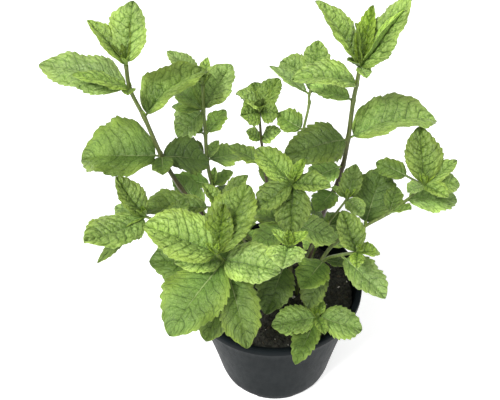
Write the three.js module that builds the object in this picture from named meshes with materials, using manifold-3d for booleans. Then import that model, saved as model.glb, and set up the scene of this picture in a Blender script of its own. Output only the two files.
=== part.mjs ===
import * as THREE from "three";
import { mergeVertices } from "three/addons/utils/BufferGeometryUtils.js";
import Module from "manifold-3d";

// A young mint plant in a round plastic pot. Millimetres, +Z up.
// The origin is the centre of the pot's base, on the surface that it stands on.

const wasm = await Module();
wasm.setup();

// Pot: outer sizes, then the wall and the foot.
const RIM_RADIUS = 60;
const POT_HEIGHT = 85;
const FOOT_RADIUS = 39;
const WALL = 1.4;
const WALL_BULGE = -0.8;
const LIP_HEIGHT = 5.5;
const LIP_PROUD = 2.6;
const LIP_FLAT = 1.2;
const EDGE_ROUND = 0.7;
const FOOT_WIDTH = 2.2;
const FOOT_FLARE = 1.5;
const DRAFT = 0.4;
const FLOOR_THICKNESS = 1.8;
const FLOOR_RISE = 3.6;
const FLOOR_CORNER = 2;
const CENTRE_PAD_RADIUS = 24;
const DRAIN_COUNT = 6;
const DRAIN_RADIUS = 30.5;
const DRAIN_LENGTH = 8;
const DRAIN_WIDTH = 4;
const NOTCH_WIDTH = 16;
const NOTCH_HEIGHT = 3.5;
const CUT_REACH = 12;
const POT_SEGMENTS = 32;
const WALL_HEIGHTS = [7, 30, 56];

// Soil: its level, its crumbly relief and the gap that it keeps to the pot.
const SOIL_LEVEL = 75;
const SOIL_RELIEF = 1.1;
const SOIL_EDGE_DROP = 1.5;
const SOIL_RINGS = [0.92, 0.78, 0.64, 0.5, 0.36, 0.2];
const SOIL_SEGMENTS = 24;
const GAP = 0.3;

// The smallest step that a joined surface keeps, on the made pieces and on the plant.
const FINEST_MADE = 0.02;
const FINEST_GROWN = 0.21;
const WELD = 1e-5;

// Stems: square in section, rooted in plain holes in the soil.
const ROOT_DEPTH = 7;
const STEM_STEP = 13;
const HOLE_CLEARANCE = 0.4;
const HOLE_SIDES = 6;

// Leaves: thickness of the blade and the petiole, and the depth of the teeth.
const BLADE = 0.7;
const PETIOLE_THICKNESS = 1.1;
const PETIOLE_HALF_WIDTH = 0.6;
const PETIOLE_SHARE = 0.4;
const SHORT_PETIOLE = 1.5;
const MIDRIB_SWELL = 0.3;
const ROOT_BACK = 0.3;
const TOOTH_DEPTH = 0.1;
const TOOTH_LEAN = 0.3;
const WAVE = 0.03;
const WAVE_RATE = 14;

// Each shoot has the points of its stem from the soil upwards, its stem radius at the soil and
// at the tip, and its leaves. A leaf is
// [stem point, heading, lift, length, width, roll, bend, fold, petiole]:
// angles in degrees, heading anticlockwise from +X, and sizes in millimetres.
const SHOOTS = [
  {
    name: "shoot_tall_left",
    radii: [2.0, 1.2],
    stem: [[-10, 6, 76], [-19, 7, 100], [-32, 8, 120], [-46, 9, 137], [-60, 12, 158], [-69.5, 15, 180],
      [-77, 17, 207], [-83, 18, 226], [-83, 18, 241]],
    leaves: [
      [8, 71, 62, 33, 25, 2, 1, 14, 2],
      [8, 159, 53, 30, 16, -5, 10, 25, 1],
      [8, 73, 61, 23, 8, 0, 0, 40, 1],
      [8, 175, 60, 13, 5, 0, 0, 40, 1],
      [7, 208, 34, 33, 15, -10, 12, 10, 1],
      [7, 174, 23, 51, 27, -19, 24, 6, 3],
      [6, 42, 39, 49, 31, 6, 53, 25, 3],
      [7, 275, 15, 9, 8, 0, 10, 12, 1],
      [5, 187, 15, 47, 47, -17, 40, 20, 4],
      [5, 20, -15, 32, 26, 25, 20, 12, 1],
      [3, 128, 30, 32, 17, 0, 20, 12, 5],
      [5, 280, 6, 18, 14, 0, 10, 12, 1],
    ],
  },
  {
    name: "shoot_back_left",
    radii: [1.6, 1.1],
    stem: [[-5, 15, 76], [-14, 20, 98], [-34, 32, 119], [-43, 42, 135], [-46, 46, 154], [-46, 49, 172],
      [-46, 50, 191], [-45, 50, 210]],
    leaves: [
      [7, 65, 60, 16, 9, 0, 0, 30, 1],
      [7, 138, 25, 32, 15, -5, 8, 12, 2],
      [6, 51, 43, 33, 33, -5, 10, 15, 2],
      [6, 137, 18, 25, 22, 0, 5, 15, 2],
      [6, 204, -34, 23, 26, -19, 12, 15, 2],
      [5, 43, 38, 19, 14, 12, 11, 8, 3],
      [5, 150, 25, 16, 12, 0, 10, 12, 3],
      [4, 170, 20, 26, 26, -10, 20, 15, 3],
      [4, 36, -8, 28, 23, 6, 17, 6, 3],
      [4, 55, 35, 14, 9, 0, 10, 15, 2],
      [3, 80, 50, 12, 6, 0, 0, 30, 1],
      [3, 25, 25, 16, 14, 0, 0, 12, 1],
      [3, 180, 20, 24, 16, -10, 15, 12, 3],
      [2, 95, 10, 26, 20, 0, 25, 12, 5],
      [6, 158, 0, 22, 13, -10, 15, 12, 2],
    ],
  },
  {
    name: "shoot_back_centre",
    radii: [1.4, 0.8],
    stem: [[2, 20, 76], [1, 25, 98], [-1, 32, 117], [-5, 40, 133], [-7, 43, 152], [-9, 45, 171],
      [-10, 45, 193]],
    leaves: [
      [6, 191, 52, 20, 20, -10, 10, 25, 1],
      [6, 54, 38, 25, 17, 10, 10, 20, 1],
      [6, 103, 41, 19, 20, 0, 0, 15, 1],
      [6, 300, 70, 11, 9, 0, -10, 25, 1],
      [6, 230, 21, 16, 18, -50, 10, 8, 1],
      [6, 338, 12, 12, 15, 50, 15, 5, 1],
      [5, 177, 40, 11, 11, -20, 15, 12, 1],
      [5, 346, 41, 15, 15, 20, 15, 12, 1],
      [4, 167, 29, 25, 17, 2, 11, 10, 3],
      [4, 350, 15, 22, 16, 10, 20, 12, 3],
      [3, 80, 20, 26, 19, 0, 20, 12, 4],
    ],
  },
  {
    name: "shoot_back_right",
    radii: [1.1, 0.8],
    stem: [[11, 17, 76], [13, 20, 104], [15, 28, 134], [16, 34, 163], [18, 36, 185], [21, 38, 202],
      [21, 38, 210], [24, 41, 219]],
    leaves: [
      [7, 77, 66, 22, 18, 0, 5, 15, 1],
      [7, 130, 3, 31, 20, -25, 10, 15, 1],
      [6, 161, 35, 27, 10, -10, 15, 15, 3],
      [6, 45, 40, 24, 20, 20, 10, 15, 2],
      [7, 250, 65, 8, 5, 0, 0, 35, 1],
      [4, 152, 20, 18, 18, -22, -4, 5, 2],
      [3, 60, 20, 25, 19, 0, 20, 12, 4],
      [3, 240, 10, 18, 13, 0, 20, 12, 4],
    ],
  },
  {
    name: "shoot_tall_right",
    radii: [1.9, 1.2],
    stem: [[19, 5, 76], [24, 7, 106], [31, 12, 134], [38, 14, 154], [42.2, 15, 173], [43.9, 15, 193],
      [45, 15, 220], [46, 15, 230], [47, 15, 242]],
    leaves: [
      [8, 142, 45, 42, 29, 14, 3, 17, 1],
      [8, 359, 52, 45, 28, 16, -18, 6, 1],
      [8, 65, 65, 31, 13, 0, 0, 35, 2],
      [8, 154, 84, 24, 12, 0, 10, 30, 1],
      [8, 354, 60, 38, 9, 0, 0, 40, 1],
      [8, 285, -2, 10, 9, 0, 10, 15, 1],
      [8, 208, 39, 10, 9, 0, 10, 15, 1],
      [7, 197, 31, 38, 21, -20, 46, 26, 1],
      [6, 144, 2, 28, 14, -15, 10, 12, 3],
      [5, 12, 29, 55, 38, 4, 54, 22, 4],
      [5, 211, 10, 41, 27, -30, 13, 7, 3],
      [4, 202, -6, 22, 18, -20, 15, 12, 3],
      [3, 238, 7, 21, 18, 0, 20, 12, 3],
      [3, 30, -5, 22, 17, 0, 20, 12, 3],
    ],
  },
  {
    name: "shoot_right",
    radii: [1.6, 0.9],
    stem: [[26, -4, 76], [29, -5, 104], [39, -6, 127], [56, -8, 143], [70, -8, 154], [79, -8, 164],
      [88, -8, 176]],
    leaves: [
      [6, 96, 51, 33, 23, 0, 0, 15, 2],
      [6, 46, 28, 17, 7, 0, 0, 35, 1],
      [6, 25, 30, 24, 13, 10, 10, 20, 1],
      [6, 7, 1, 21, 16, 20, 15, 15, 2],
      [6, 310, 14, 17, 12, 10, 15, 20, 1],
      [5, 6, 4, 31, 25, 15, 20, 15, 2],
      [6, 215, 11, 13, 11, 0, 10, 15, 1],
      [6, 154, 16, 20, 14, -27, 25, 6, 12],
      [4, 63, 47, 15, 13, 0, 10, 20, 2],
      [4, 315, 47, 17, 14, 0, 15, 12, 2],
      [3, 65, 45, 37, 28, 15, 15, 12, 3],
    ],
  },
  {
    name: "shoot_front_left",
    radii: [1.6, 1.0],
    stem: [[-5, -12, 76], [-7, -18, 104], [-12, -31, 131], [-20, -50, 153], [-27, -64, 170], [-30, -70, 181]],
    leaves: [
      [5, 176, 33, 39, 32, -14, 20, 18, 1],
      [5, 78, 46, 25, 16, 0, -5, 20, 1],
      [5, 63, 31, 40, 28, 0, 5, 15, 1],
      [5, 133, 16, 17, 8, 0, 0, 30, 1],
      [5, 43, 43, 11, 7, 0, 0, 30, 0],
      [4, 331, 20, 33, 24, 25, 20, 14, 1],
      [4, 237, -7, 45, 33, -12, 30, 12, 4],
      [4, 290, -25, 43, 24, 0, 25, 14, 5],
      [4, 205, 25, 26, 16, -30, 15, 20, 2],
      [3, 185, 12, 47, 34, -20, 20, 12, 4],
      [3, 242, -24, 43, 30, 0, 20, 12, 4],
    ],
  },
  {
    name: "shoot_left",
    radii: [1.4, 0.9],
    stem: [[-15, -5, 76], [-18, -8, 100], [-27, -16, 126], [-45, -24, 149], [-62, -28, 162], [-74, -30, 171]],
    leaves: [
      [5, 146, 40, 27, 18, 0, -12, 20, 1],
      [5, 152, -6, 22, 14, -10, 0, 12, 1],
      [5, 228, 0, 41, 26, -9, -32, 8, 2],
      [5, 215, 0, 16, 7, 0, 10, 30, 1],
      [5, 220, -21, 36, 9, -20, 20, 15, 2],
      [4, 60, 25, 18, 12, 0, 20, 15, 3],
      [3, 130, 10, 26, 18, 0, 20, 12, 4],
      [3, 300, -10, 18, 13, 0, 20, 12, 3],
    ],
  },
  {
    name: "shoot_centre",
    radii: [1.3, 0.8],
    stem: [[9, -6, 76], [10, -11, 106], [9, -19, 138], [9, -28, 163], [9, -35, 184], [9, -40, 203]],
    leaves: [
      [5, 128, 14, 30, 18, -10, 5, 15, 1],
      [5, 45, 48, 14, 9, 0, 0, 30, 1],
      [5, 165, 60, 8, 5, 0, 0, 30, 1],
      [5, 336, 22, 21, 15, 10, 20, 15, 1],
      [5, 270, -35, 26, 20, 0, 25, 15, 1],
      [5, 210, -15, 22, 17, -10, 15, 15, 1],
      [3, 215, -5, 24, 18, -10, 25, 12, 3],
      [3, 345, -5, 26, 19, 15, 25, 12, 3],
      [2, 90, 20, 22, 15, 0, 20, 12, 4],
      [3, 147, -1, 23, 18, 0, 15, 12, 3],
    ],
  },
  {
    name: "shoot_front_centre",
    radii: [1.2, 0.8],
    stem: [[4, -15, 76], [6, -24, 105], [6, -42, 145], [7, -66, 182]],
    leaves: [
      [3, 145, 35, 12, 7, 0, 0, 30, 1],
      [3, 25, 28, 12, 8, 0, 0, 30, 1],
      [3, 260, 18, 17, 21, 0, 20, 15, 1],
      [3, 90, 75, 9, 6, 0, 5, 25, 1],
      [2, 250, -10, 30, 22, 0, 25, 12, 3],
      [2, 165, 20, 20, 15, -10, 15, 12, 3],
    ],
  },
  {
    name: "shoot_front_right",
    radii: [1.3, 0.9],
    stem: [[20, -17, 76], [24, -21, 105], [30, -27, 132], [38, -40, 150], [46, -50, 162]],
    leaves: [
      [4, 120, 45, 24, 17, -10, 5, 15, 1],
      [4, 22, -15, 14, 13, 0, 10, 20, 1],
      [4, 260, 11, 12, 9, 0, 15, 20, 1],
      [3, 313, -8, 32, 22, 0, 15, 12, 4],
      [2, 238, 7, 25, 21, -10, 20, 12, 2],
      [2, 240, -49, 29, 18, 0, 20, 12, 4],
      [2, 350, 0, 14, 9, 0, 10, 12, 2],
    ],
  },
  {
    name: "shoot_low_front",
    radii: [1.1, 0.8],
    stem: [[26, -31, 76], [27, -35, 85], [27, -40, 94]],
    leaves: [
      [2, 193, 3, 28, 21, -20, 20, 12, 2],
      [2, 350, -11, 29, 22, 25, 20, 12, 2],
      [2, 242, -10, 32, 18, 0, 15, 12, 2],
      [2, 75, 40, 11, 9, 0, 5, 25, 1],
      [2, 285, 5, 13, 9, 0, 15, 25, 1],
    ],
  },
  {
    name: "shoot_mid_right",
    radii: [1.2, 0.8],
    stem: [[15, -4, 76], [20, -4, 110], [33, -3, 139], [44, -4, 162]],
    leaves: [
      [3, 65, 58, 21, 15, 0, 5, 15, 1],
      [3, 302, 0, 15, 13, 10, 15, 15, 1],
      [3, 155, 30, 11, 8, 0, 5, 25, 1],
      [2, 25, 10, 15, 12, 0, 20, 12, 2],
      [2, 186, 55, 22, 17, 0, 15, 12, 2],
    ],
  },
  {
    name: "shoot_mid_left",
    radii: [1.2, 0.8],
    stem: [[-7, 0, 76], [-12, 0, 104], [-24, 0, 130], [-34, 0, 151]],
    leaves: [
      [3, 145, 48, 18, 12, 0, 5, 25, 1],
      [3, 33, 43, 25, 16, 0, 5, 15, 2],
      [3, 192, 16, 42, 28, 5, 21, 15, 9],
      [3, 300, 40, 10, 7, 0, 5, 25, 1],
      [2, 180, 5, 22, 14, 0, 20, 12, 3],
      [2, 60, 15, 22, 15, 0, 20, 12, 3],
    ],
  },
  {
    name: "shoot_low_back_left",
    radii: [1.1, 0.8],
    stem: [[-18, 20, 76], [-23, 25, 88], [-27, 30, 97]],
    leaves: [
      [2, 80, 15, 26, 20, 0, 20, 12, 2],
      [2, 260, 15, 20, 16, 0, 20, 12, 2],
      [2, 170, 20, 26, 19, 0, 20, 12, 2],
      [2, 350, 20, 16, 12, 0, 20, 12, 2],
      [2, 130, 65, 9, 6, 0, 5, 30, 1],
      [2, 310, 60, 9, 6, 0, 5, 30, 1],
    ],
  },
  {
    name: "shoot_low_back_right",
    radii: [1.1, 0.8],
    stem: [[24, 22, 76], [29, 28, 87], [33, 33, 95]],
    leaves: [
      [2, 50, 15, 26, 20, 0, 20, 12, 2],
      [2, 230, 15, 18, 14, 0, 20, 12, 2],
      [2, 140, 20, 23, 17, 0, 20, 12, 2],
      [2, 320, 20, 24, 17, 0, 20, 12, 2],
      [2, 80, 65, 9, 6, 0, 5, 30, 1],
      [2, 260, 60, 9, 6, 0, 5, 30, 1],
    ],
  },
];

// Colours for the preview; each shoot's green differs a little.
const LEAF_GREEN = 0x6f9a45;
const HUE_STEP = 0.006;
const LIGHT_STEP = 0.012;
const POT_PLASTIC = new THREE.MeshStandardMaterial({ color: 0x2f3436, roughness: 0.45, metalness: 0 });
const SOIL_EARTH = new THREE.MeshStandardMaterial({ color: 0x1f1a16, roughness: 0.95, metalness: 0 });

const rad = THREE.MathUtils.degToRad;

// Gives a closed geometry as a solid, with its faces pointing out.
function solidOf(geometry) {
  const bare = geometry.clone();
  bare.deleteAttribute("normal");
  bare.deleteAttribute("uv");
  const merged = mergeVertices(bare, WELD);
  const place = merged.attributes.position;
  const index = merged.index.array;
  const corner = [new THREE.Vector3(), new THREE.Vector3(), new THREE.Vector3()];
  const kept = [];
  let volume = 0;
  for (let i = 0; i < index.length; i += 3) {
    const face = [index[i], index[i + 1], index[i + 2]];
    if (new Set(face).size < 3) {
      continue;
    }
    face.forEach((vertex, k) => corner[k].fromBufferAttribute(place, vertex));
    volume += corner[0].dot(corner[1].clone().cross(corner[2]));
    kept.push(face);
  }
  const faces = volume < 0 ? kept.map(([a, b, c]) => [a, c, b]) : kept;
  return new wasm.Manifold(new wasm.Mesh({
    numProp: 3,
    vertProperties: new Float32Array(place.array),
    triVerts: new Uint32Array(faces.flat()),
  }));
}

// Gives a solid's outer body as a geometry: scraps and sealed hollows are left out.
function geometryOf(solid, finest) {
  const bodies = solid.simplify(finest).decompose();
  const main = bodies.reduce((best, body) => (body.volume() > best.volume() ? body : best));
  const mesh = main.getMesh();
  const geometry = new THREE.BufferGeometry();
  geometry.setAttribute("position", new THREE.BufferAttribute(new Float32Array(mesh.vertProperties), 3));
  geometry.setIndex(new THREE.BufferAttribute(new Uint32Array(mesh.triVerts), 1));
  return geometry;
}

function lathe(profile, segments) {
  const points = profile.map(([radius, height]) => new THREE.Vector2(radius, height));
  return new THREE.LatheGeometry(points, segments).rotateX(Math.PI / 2);
}

// Outer radius of the pot's wall at a height, with the wall's slight swell.
function wallRadius(height) {
  const rise = height / (POT_HEIGHT - LIP_HEIGHT);
  const straight = THREE.MathUtils.lerp(FOOT_RADIUS + FOOT_FLARE, RIM_RADIUS - LIP_PROUD, rise);
  return straight + WALL_BULGE * Math.sin(Math.PI * rise);
}

function potGeometry() {
  const underLip = POT_HEIGHT - LIP_HEIGHT;
  const outerWall = WALL_HEIGHTS.map((height) => [wallRadius(height), height]);
  const innerWall = WALL_HEIGHTS.map((height) => [wallRadius(height) - WALL, height]).reverse();
  const raised = FLOOR_RISE + FLOOR_THICKNESS;
  const profile = [
    [0, 0],
    [CENTRE_PAD_RADIUS, 0],
    [CENTRE_PAD_RADIUS + DRAFT, FLOOR_RISE],
    [FOOT_RADIUS - FOOT_WIDTH - DRAFT, FLOOR_RISE],
    [FOOT_RADIUS - FOOT_WIDTH, 0],
    [FOOT_RADIUS, 0],
    [FOOT_RADIUS + 2 * EDGE_ROUND, 3 * EDGE_ROUND],
    ...outerWall,
    [RIM_RADIUS - LIP_PROUD, underLip],
    [RIM_RADIUS, underLip + DRAFT],
    [RIM_RADIUS, POT_HEIGHT - EDGE_ROUND],
    [RIM_RADIUS - EDGE_ROUND, POT_HEIGHT],
    [RIM_RADIUS - EDGE_ROUND - LIP_FLAT, POT_HEIGHT],
    [RIM_RADIUS - LIP_PROUD - WALL, POT_HEIGHT - LIP_FLAT],
    [RIM_RADIUS - LIP_PROUD - WALL, underLip],
    ...innerWall,
    [FOOT_RADIUS - FLOOR_CORNER, raised],
    [CENTRE_PAD_RADIUS + DRAFT - WALL, raised],
    [CENTRE_PAD_RADIUS - WALL, FLOOR_THICKNESS],
    [0, FLOOR_THICKNESS],
  ];
  let pot = solidOf(lathe(profile, POT_SEGMENTS));
  for (let i = 0; i < DRAIN_COUNT; i += 1) {
    const turn = i * (2 * Math.PI / DRAIN_COUNT);
    const slot = new THREE.BoxGeometry(DRAIN_LENGTH, DRAIN_WIDTH, CUT_REACH);
    const notch = new THREE.BoxGeometry(CUT_REACH, NOTCH_WIDTH, 2 * NOTCH_HEIGHT);
    slot.translate(DRAIN_RADIUS, 0, raised).rotateZ(turn);
    notch.translate(FOOT_RADIUS, 0, 0).rotateZ(turn);
    pot = pot.subtract(solidOf(slot)).subtract(solidOf(notch));
  }
  return geometryOf(pot, FINEST_MADE);
}

// Height of the soil above its mean level: low crumbs and hollows.
function soilRelief(x, y) {
  const coarse = Math.sin(x * 0.21 + 1.3) * Math.cos(y * 0.24 - 0.6);
  const fine = Math.sin(x * 0.55 - y * 0.35) * Math.cos(y * 0.61 + x * 0.2);
  return SOIL_RELIEF * (0.6 * coarse + 0.6 * fine);
}

function soilGeometry() {
  const wallSide = WALL_HEIGHTS.map((height) => [wallRadius(height) - WALL - 3 * GAP, height]);
  const shoulder = wallRadius(SOIL_LEVEL) - WALL - 3 * GAP;
  const rings = SOIL_RINGS.map((share) => [shoulder * share, SOIL_LEVEL]);
  const bed = FLOOR_RISE + FLOOR_THICKNESS + GAP;
  const profile = [
    [0, FLOOR_THICKNESS + GAP],
    [CENTRE_PAD_RADIUS - WALL - 2 * GAP, FLOOR_THICKNESS + GAP],
    [CENTRE_PAD_RADIUS + DRAFT - WALL - GAP, bed],
    [FOOT_RADIUS - FLOOR_CORNER - GAP, bed],
    ...wallSide,
    [shoulder, SOIL_LEVEL - SOIL_EDGE_DROP],
    ...rings,
    [0, SOIL_LEVEL],
  ];
  const geometry = lathe(profile, SOIL_SEGMENTS);
  const place = geometry.attributes.position;
  for (let i = 0; i < place.count; i += 1) {
    if (place.getZ(i) > SOIL_LEVEL - GAP) {
      place.setZ(i, SOIL_LEVEL + soilRelief(place.getX(i), place.getY(i)));
    }
  }
  let soil = solidOf(geometry);
  for (const shoot of SHOOTS) {
    const [x, y] = shoot.stem[0];
    const radius = (shoot.radii[0] + HOLE_CLEARANCE) / Math.cos(Math.PI / HOLE_SIDES);
    const length = ROOT_DEPTH + CUT_REACH;
    const hole = new THREE.CylinderGeometry(radius, radius, length, HOLE_SIDES).rotateX(Math.PI / 2);
    hole.translate(x, y, SOIL_LEVEL - ROOT_DEPTH - GAP + length / 2);
    soil = soil.subtract(solidOf(hole));
  }
  return geometryOf(soil, FINEST_MADE);
}

// A square stem: straight down into the soil, then along its curve.
function stemSolid(points, [baseRadius, tipRadius]) {
  const curve = new THREE.CatmullRomCurve3(points.map((p) => new THREE.Vector3(...p)), false, "centripetal");
  const steps = Math.max(3, Math.round(curve.getLength() / STEM_STEP));
  const frames = curve.computeFrenetFrames(steps, false);
  const section = new THREE.Shape(
    [45, 135, 225, 315].map((a) => new THREE.Vector2(Math.cos(rad(a)), Math.sin(rad(a)))),
  );
  const rings = steps + 1;
  const geometry = new THREE.ExtrudeGeometry(section, { depth: 1, steps: rings, bevelEnabled: false });
  const place = geometry.attributes.position;
  const spot = new THREE.Vector3();
  for (let i = 0; i < place.count; i += 1) {
    const ring = Math.round(place.getZ(i) * rings);
    const at = Math.max(0, ring - 1);
    const radius = THREE.MathUtils.lerp(baseRadius, tipRadius, at / steps);
    spot.copy(curve.getPointAt(at / steps));
    if (ring === 0) {
      spot.x += radius * place.getX(i);
      spot.y += radius * place.getY(i);
      spot.z = SOIL_LEVEL - ROOT_DEPTH;
    } else if (ring === 1) {
      spot.x += radius * place.getX(i);
      spot.y += radius * place.getY(i);
    } else {
      spot.addScaledVector(frames.normals[at], radius * place.getX(i));
      spot.addScaledVector(frames.binormals[at], radius * place.getY(i));
    }
    place.setXYZ(i, spot.x, spot.y, spot.z);
  }
  return solidOf(geometry);
}

// Share of the leaf's half width at a share of its length: ovate, widest below the middle.
const BASE_POWER = 0.55;
const TIP_POWER = 0.75;
const WIDEST = BASE_POWER / (BASE_POWER + TIP_POWER);
const PEAK = WIDEST ** BASE_POWER * (1 - WIDEST) ** TIP_POWER;

function outline(share) {
  return (share ** BASE_POWER * (1 - share) ** TIP_POWER) / PEAK;
}

// Steps along a blade, two to a tooth: the smallest leaves have three and no teeth.
function stepsFor(length) {
  const grown = [40, 30, 20, 12].findIndex((limit) => length >= limit);
  return [10, 8, 6, 4][grown] ?? 3;
}

// A thin closed blade with toothed edges, folded along its midrib and bent down to its tip,
// on a petiole that starts inside the stem.
function leafSolid(root, heading, lift, length, width, roll, bend, fold, petiole) {
  const along = new THREE.Vector3(
    Math.cos(rad(heading)) * Math.cos(rad(lift)),
    Math.sin(rad(heading)) * Math.cos(rad(lift)),
    Math.sin(rad(lift)),
  );
  const side = new THREE.Vector3(-Math.sin(rad(heading)), Math.cos(rad(heading)), 0);
  side.applyAxisAngle(along, rad(roll));
  const up = new THREE.Vector3().crossVectors(along, side);
  const steps = stepsFor(length);
  const arc = rad(bend);
  const vertices = [];

  // The upper and the lower point of the blade's thickness at a spot.
  function pair(spot, normal, thickness) {
    vertices.push(spot.clone().addScaledVector(normal, 0.5 * thickness));
    vertices.push(spot.clone().addScaledVector(normal, -0.5 * thickness));
  }

  // The middle, the left edge and the right edge of the blade at one place along it.
  function station(travel, drop, tilt, half, rise, thickness, shift, wave) {
    const middle = new THREE.Vector3(...root).addScaledVector(along, travel).addScaledVector(up, -drop);
    const normal = up.clone().multiplyScalar(Math.cos(tilt)).addScaledVector(along, Math.sin(tilt));
    const forward = along.clone().multiplyScalar(Math.cos(tilt)).addScaledVector(up, -Math.sin(tilt));
    pair(middle, normal, thickness);
    for (const hand of [1, -1]) {
      const edge = middle.clone().addScaledVector(side, hand * half * Math.cos(rise));
      edge.addScaledVector(normal, half * Math.sin(rise) + hand * wave).addScaledVector(forward, shift);
      pair(edge, normal, thickness);
    }
  }

  function reach(angle) {
    return Math.abs(arc) < 1e-6 ? [length * angle, 0] : [
      (length / arc) * Math.sin(arc * angle),
      (length / arc) * (1 - Math.cos(arc * angle)),
    ];
  }

  pair(new THREE.Vector3(...root).addScaledVector(along, -ROOT_BACK), up, PETIOLE_THICKNESS);
  if (petiole > SHORT_PETIOLE) {
    station(petiole * PETIOLE_SHARE, 0, 0, PETIOLE_HALF_WIDTH, 0, PETIOLE_THICKNESS, 0, 0);
  }
  for (let i = 1; i < steps; i += 1) {
    const isPeak = i % 2 === 1 && steps > 3;
    const share = (i + (isPeak ? TOOTH_LEAN : 0)) / (steps + TOOTH_LEAN);
    const [travel, drop] = reach(share);
    const half = 0.5 * width * outline(share) * (isPeak ? 1 : 1 - TOOTH_DEPTH);
    const thickness = BLADE / Math.cos(rad(fold)) + MIDRIB_SWELL * (1 - share);
    const lean = isPeak ? TOOTH_LEAN * length / steps : 0;
    const wave = WAVE * half * Math.sin(share * WAVE_RATE + heading);
    station(petiole + travel, drop, arc * share, half, rad(fold), thickness, lean, wave);
  }
  const [tipTravel, tipDrop] = reach(1);
  const tip = new THREE.Vector3(...root).addScaledVector(along, petiole + tipTravel);
  tip.addScaledVector(up, -tipDrop);
  pair(tip, up.clone().multiplyScalar(Math.cos(arc)).addScaledVector(along, Math.sin(arc)), BLADE);

  // Spots are numbered from the root: each station's middle, left and right, and then the tip.
  const faces = [];

  // A panel between three spots, anticlockwise from above: one face above and its twin below.
  function panel(a, b, c) {
    faces.push([2 * a, 2 * b, 2 * c], [2 * a + 1, 2 * c + 1, 2 * b + 1]);
  }

  // The blade's margin from one spot to the next, anticlockwise from above.
  function margin(a, b) {
    faces.push([2 * a, 2 * a + 1, 2 * b + 1], [2 * a, 2 * b + 1, 2 * b]);
  }

  const end = vertices.length / 2 - 1;
  panel(0, 1, 2);
  panel(0, 3, 1);
  margin(2, 0);
  margin(0, 3);
  for (let a = 1; a + 3 < end; a += 3) {
    panel(a, a + 3, a + 4);
    panel(a, a + 4, a + 1);
    panel(a, a + 2, a + 5);
    panel(a, a + 5, a + 3);
    margin(a + 4, a + 1);
    margin(a + 2, a + 5);
  }
  panel(end - 3, end, end - 2);
  panel(end - 3, end - 1, end);
  margin(end, end - 2);
  margin(end - 1, end);

  const geometry = new THREE.BufferGeometry().setFromPoints(vertices);
  geometry.setIndex(faces.flat());
  return solidOf(geometry);
}

function shootGeometry({ stem, radii, leaves }) {
  const solids = leaves.map(([point, ...form]) => leafSolid(stem[point], ...form));
  return geometryOf(wasm.Manifold.union([stemSolid(stem, radii), ...solids]), FINEST_GROWN);
}

const plant = new THREE.Group();

function addPiece(name, geometry, material) {
  geometry.computeVertexNormals();
  const mesh = new THREE.Mesh(geometry, material);
  mesh.name = name;
  plant.add(mesh);
}

addPiece("pot", potGeometry(), POT_PLASTIC);
addPiece("soil", soilGeometry(), SOIL_EARTH);
SHOOTS.forEach((shoot, i) => {
  const tint = new THREE.Color(LEAF_GREEN).offsetHSL(HUE_STEP * ((i % 5) - 2), 0, LIGHT_STEP * ((i % 3) - 1));
  const material = new THREE.MeshStandardMaterial({ color: tint, roughness: 0.6, metalness: 0 });
  addPiece(shoot.name, shootGeometry(shoot), material);
});

export default plant;
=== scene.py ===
# A young mint plant in its nursery pot, dressed for a picture.
# Metres, +Z up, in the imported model's frame. Tables and leaf sizes are in millimetres.
import math

import bpy
import numpy as np
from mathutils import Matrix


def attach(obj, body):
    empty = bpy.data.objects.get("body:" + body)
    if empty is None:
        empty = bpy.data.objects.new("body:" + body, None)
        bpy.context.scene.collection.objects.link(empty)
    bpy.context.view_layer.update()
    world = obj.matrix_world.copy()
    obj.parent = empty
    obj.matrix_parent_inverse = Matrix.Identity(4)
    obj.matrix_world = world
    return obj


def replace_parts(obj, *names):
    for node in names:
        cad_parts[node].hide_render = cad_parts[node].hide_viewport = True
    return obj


MM = 0.001
SEED = 7

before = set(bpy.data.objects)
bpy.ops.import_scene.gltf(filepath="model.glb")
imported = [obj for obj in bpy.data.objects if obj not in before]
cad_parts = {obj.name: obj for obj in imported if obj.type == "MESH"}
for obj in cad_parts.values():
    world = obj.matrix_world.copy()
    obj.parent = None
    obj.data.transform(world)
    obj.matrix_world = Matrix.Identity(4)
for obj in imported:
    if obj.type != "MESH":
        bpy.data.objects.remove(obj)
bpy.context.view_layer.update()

# Camera: held in front of the plant, looking down at it. Its place is in metres.
CAMERA_PLACE = (0.0, -0.306, 0.419)
CAMERA_TILT = 49.5
CAMERA_LENS = 46.8
SENSOR_WIDTH = 36
CAMERA_SHIFT = -0.05

# Pot and soil, as in the solid model.
RIM_RADIUS = 60
POT_HEIGHT = 85
FOOT_RADIUS = 39
WALL = 1.4
WALL_BULGE = -0.8
LIP_HEIGHT = 5.5
LIP_PROUD = 2.6
LIP_FLAT = 1.2
EDGE_ROUND = 0.7
FOOT_WIDTH = 2.2
FOOT_FLARE = 1.5
DRAFT = 0.4
FLOOR_THICKNESS = 1.8
FLOOR_RISE = 3.6
FLOOR_CORNER = 2
CENTRE_PAD_RADIUS = 24
DRAIN_COUNT = 6
DRAIN_RADIUS = 30.5
DRAIN_LENGTH = 8
DRAIN_WIDTH = 4
NOTCH_WIDTH = 16
NOTCH_HEIGHT = 3.5
CUT_REACH = 12
POT_TURNS = 192
WALL_HEIGHTS = (7, 18, 30, 43, 56, 68)
HUB_RADIUS = 0.05
CORNER_REACH = 0.45
SHARP_ANGLE = 40
SOIL_LEVEL = 75
SOIL_RELIEF = 1.1
SOIL_GAP = 0.9
SOIL_FLOOR_GAP = 0.3
SOIL_HUB_RADIUS = 0.16
SOIL_HEIGHTS = (7, 30, 56)
SOIL_SHOULDER = 1.5
SOIL_EDGE_DROP = 0.8
SOIL_RINGS = 76
SOIL_TURNS = 240
CLOD_SIZE = 2.6
CLOD_HEIGHT = 1.3
CRUMB_SIZE = 1.1
CRUMB_HEIGHT = 0.7
STEM_CLEARANCE = 2.2

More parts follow.
